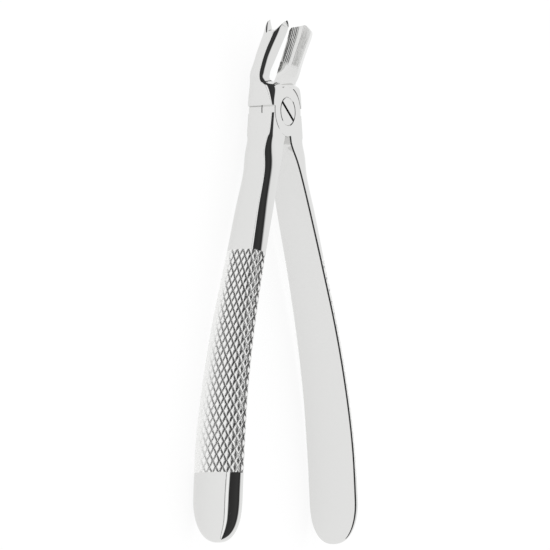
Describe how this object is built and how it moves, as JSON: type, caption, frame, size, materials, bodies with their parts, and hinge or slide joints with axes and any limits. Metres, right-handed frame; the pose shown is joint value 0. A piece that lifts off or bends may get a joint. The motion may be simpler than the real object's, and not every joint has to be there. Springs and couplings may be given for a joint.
{
  "type": "dental extraction forceps",
  "caption": "Upper molar extraction forceps with a screwed lap joint, a forked and a pointed gouge beak, and knurled bowed handles.",
  "frame": {"origin": "on the pivot axis, in the plane where the two laps of the joint meet", "axes": "+X along the handles to their tails, +Z along the pivot axis to the screw head, beaks towards -X"},
  "size_m": [0.17, 0.083, 0.019],
  "materials": {
    "forged_steel": "polished stainless steel, knurled on the outside of the grips",
    "screw_steel": "turned and polished stainless steel"
  },
  "bodies": {
    "rear": {"rear_half": "forged_steel", "joint_screw": "screw_steel"},
    "front": {"front_half": "forged_steel"}
  },
  "joints": [
    {"name": "forceps_pivot", "type": "hinge", "parent": "rear", "child": "front", "pos_m": [0, 0, 0], "axis": [0, 0, 1], "range_deg": [-19, 14]}
  ]
}
